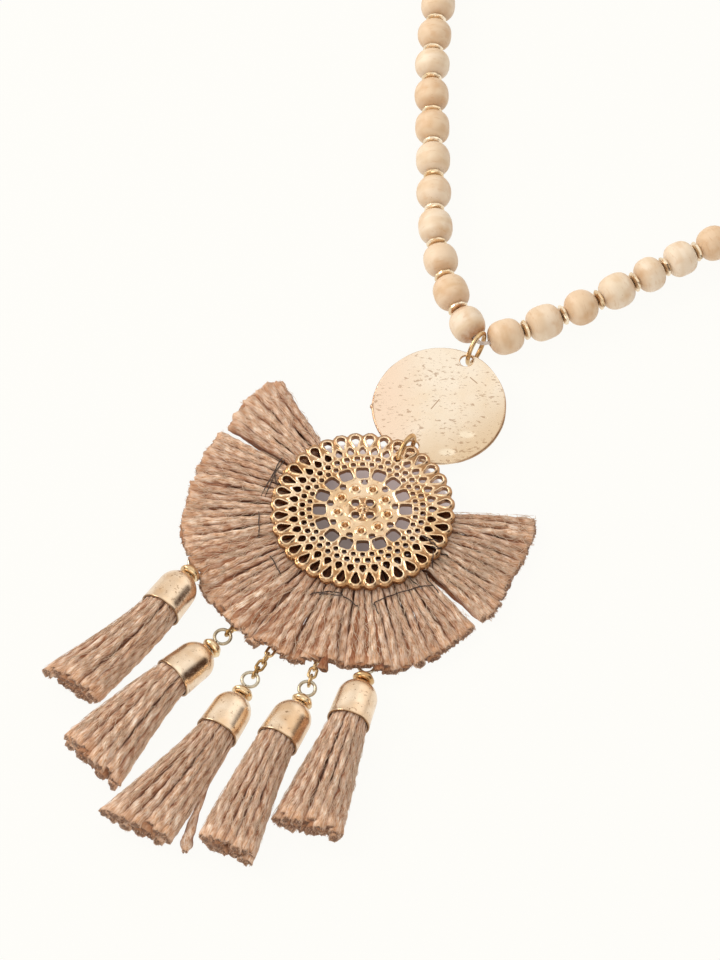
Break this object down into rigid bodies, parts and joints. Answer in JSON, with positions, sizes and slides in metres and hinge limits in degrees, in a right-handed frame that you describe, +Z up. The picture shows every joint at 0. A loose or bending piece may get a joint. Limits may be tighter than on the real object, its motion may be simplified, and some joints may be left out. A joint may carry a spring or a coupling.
{
  "type": "long bead necklace with filigree pendant and tassels",
  "caption": "Long loop of barrel beads with thin metal spacers, and a pendant of a hammered disc, a pierced filigree, a jute fan and tassels in bell caps.",
  "frame": {"origin": "centre of the necklace's box on the surface that it lies on", "axes": "+Y from the pendant to the back of the loop, +Z up off the surface"},
  "size_m": [0.2196, 0.4711, 0.0105],
  "materials": {
    "bone": "polished natural bone with a soft gloss",
    "spacer_gold": "bright textured gold plate, dark in the recesses",
    "cotton_thread": "waxed grey cotton thread",
    "ring_wire": "antiqued gold-plated wire",
    "pale_gold": "light champagne gold plate, hammered on the disc and smooth on the caps",
    "cast_gold": "glossy light gold casting with brown antiquing in the recesses",
    "chain_gold": "fine gold-plated chain",
    "jute": "twisted jute twine with loose fibres"
  },
  "bodies": {
    "root": {"beads_left": "bone", "beads_right": "bone", "spacers_left": "spacer_gold", "spacers_right": "spacer_gold", "thread": "cotton_thread", "pendant_ring": "ring_wire", "hammered_disc": "pale_gold", "link_ring": "ring_wire", "filigree_disc": "cast_gold", "jute_fan": "jute", "skirt_1": "jute", "cap_1": "pale_gold", "collar_1": "spacer_gold", "eye_pin_1": "ring_wire", "chain_1": "chain_gold", "skirt_2": "jute", "cap_2": "pale_gold", "collar_2": "spacer_gold", "eye_pin_2": "ring_wire", "chain_2": "chain_gold", "skirt_3": "jute", "cap_3": "pale_gold", "collar_3": "spacer_gold", "eye_pin_3": "ring_wire", "chain_3": "chain_gold", "skirt_4": "jute", "cap_4": "pale_gold", "collar_4": "spacer_gold", "eye_pin_4": "ring_wire", "chain_4": "chain_gold", "skirt_5": "jute", "cap_5": "pale_gold", "collar_5": "spacer_gold", "eye_pin_5": "ring_wire", "chain_5": "chain_gold"}
  },
  "joints": []
}
